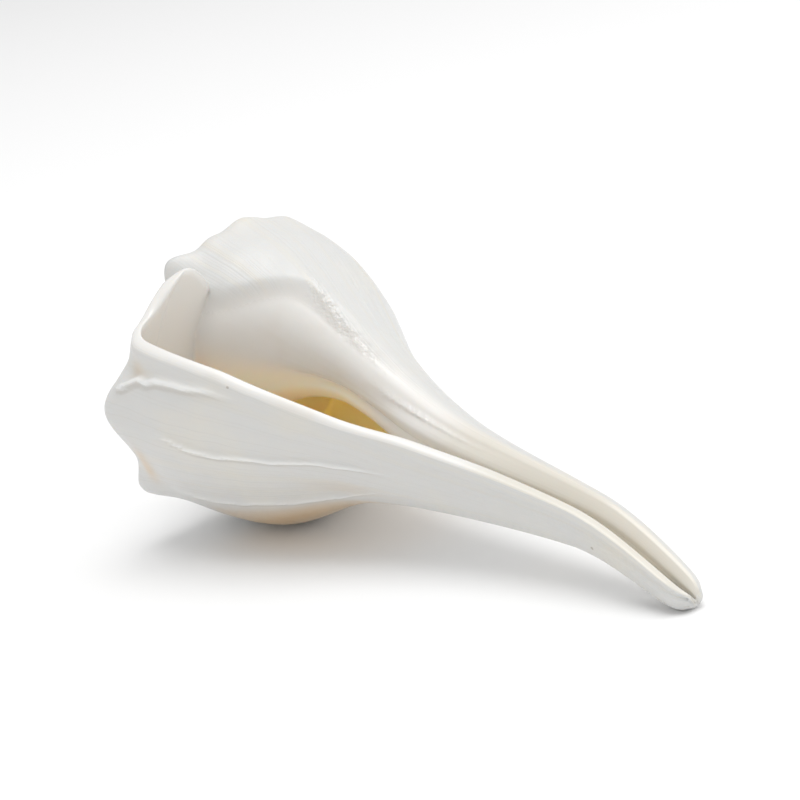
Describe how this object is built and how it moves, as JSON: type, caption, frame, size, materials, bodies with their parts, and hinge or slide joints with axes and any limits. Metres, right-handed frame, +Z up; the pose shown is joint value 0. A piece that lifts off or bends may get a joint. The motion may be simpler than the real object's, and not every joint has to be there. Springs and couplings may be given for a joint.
{
  "type": "whelk shell",
  "caption": "Left-handed spiral sea shell with a low knobbed spire, a wide open mouth and a long open canal, lying on its back.",
  "frame": {"origin": "on the ground under the centre of the shell's bounding box, as it lies on its back", "axes": "+X along the shell from spire to canal tip, +Z up out of the mouth, -Y towards the outer lip"},
  "size_m": [0.1784, 0.089, 0.0781],
  "materials": {
    "shell": "bleached glossy shell"
  },
  "bodies": {
    "root": {"shell": "shell"}
  },
  "joints": []
}
